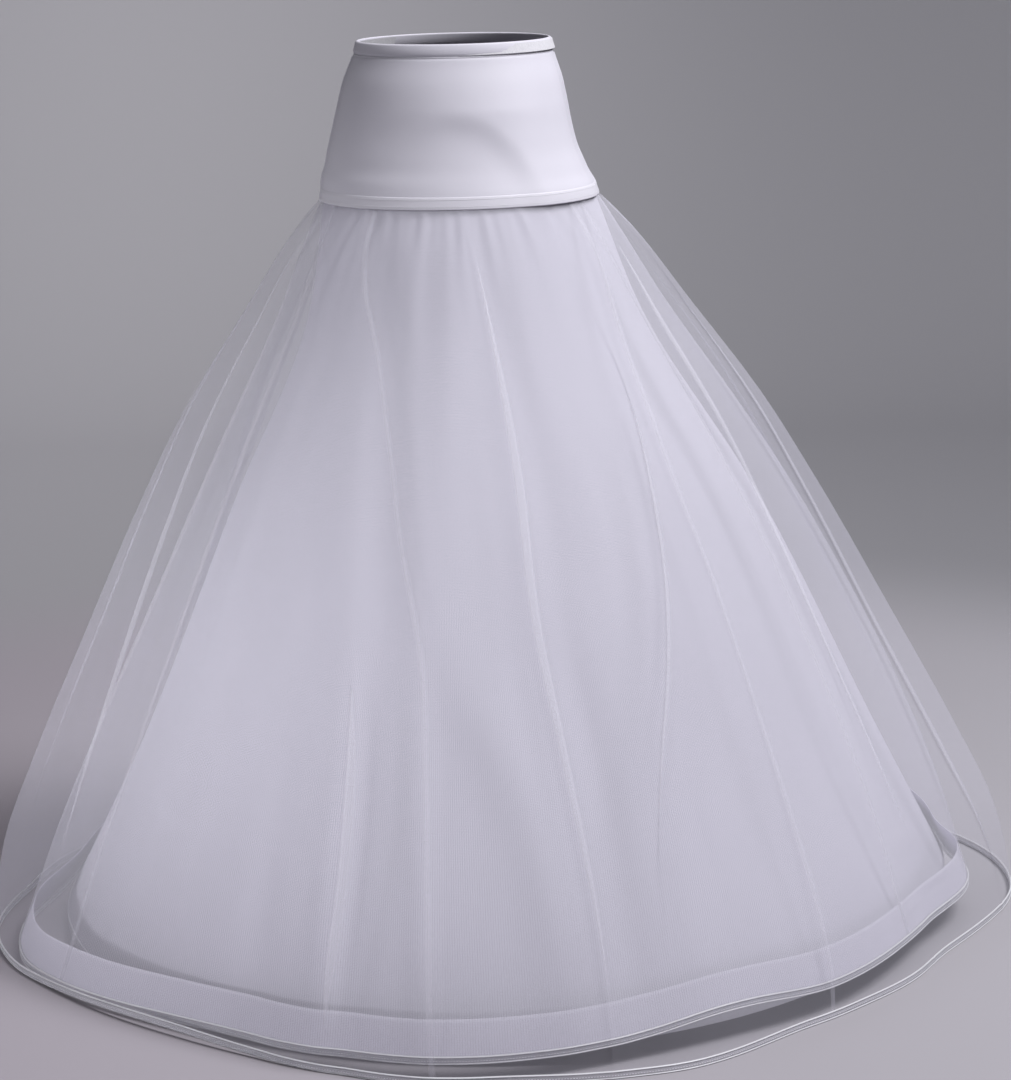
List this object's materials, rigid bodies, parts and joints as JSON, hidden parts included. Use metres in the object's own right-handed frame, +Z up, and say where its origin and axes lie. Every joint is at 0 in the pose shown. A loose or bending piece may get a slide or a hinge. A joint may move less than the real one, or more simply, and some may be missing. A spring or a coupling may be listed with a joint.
{
  "type": "hoop petticoat",
  "caption": "A-line hoop petticoat: stretch yoke with an elastic waist, a lining held out by a hoop at its hem, and sheer net layers draped over it in soft folds.",
  "frame": {"origin": "on the floor, under the middle of the whole petticoat's box", "axes": "+Z up towards the waist, -Y towards the front, +X towards the viewer's right as seen from the front"},
  "size_m": [1.1796, 1.1062, 1],
  "materials": {
    "yoke_knit": "smooth stretch knit with a soft sheen",
    "binding": "smooth stretch knit, lapped and topstitched",
    "elastic": "woven elastic band",
    "satin": "satin ribbon",
    "casing_ribbon": "twill ribbon",
    "outer_net": "sheer net",
    "middle_net": "sheer net",
    "lining_cloth": "thin plain-weave lining, nearly opaque",
    "spring_steel": "flat spring steel",
    "sleeve_steel": "crimped sleeve"
  },
  "bodies": {
    "root": {"hem_facing_back": "lining_cloth", "hem_facing_front": "lining_cloth", "hem_facing_left": "lining_cloth", "hem_facing_right": "lining_cloth", "hoop": "spring_steel", "hoop_casing": "casing_ribbon", "hoop_joiner": "sleeve_steel", "lining_back": "lining_cloth", "lining_front": "lining_cloth", "lining_left_back": "lining_cloth", "lining_left_front": "lining_cloth", "lining_right_back": "lining_cloth", "lining_right_front": "lining_cloth", "middle_hem_tape": "satin", "middle_tulle_back": "middle_net", "middle_tulle_front": "middle_net", "middle_tulle_left": "middle_net", "middle_tulle_right": "middle_net", "outer_hem_tape": "satin", "outer_tulle_back": "outer_net", "outer_tulle_front": "outer_net", "outer_tulle_left": "outer_net", "outer_tulle_right": "outer_net", "waist_elastic": "elastic", "yoke_back": "yoke_knit", "yoke_binding": "binding", "yoke_front": "yoke_knit"}
  },
  "joints": []
}
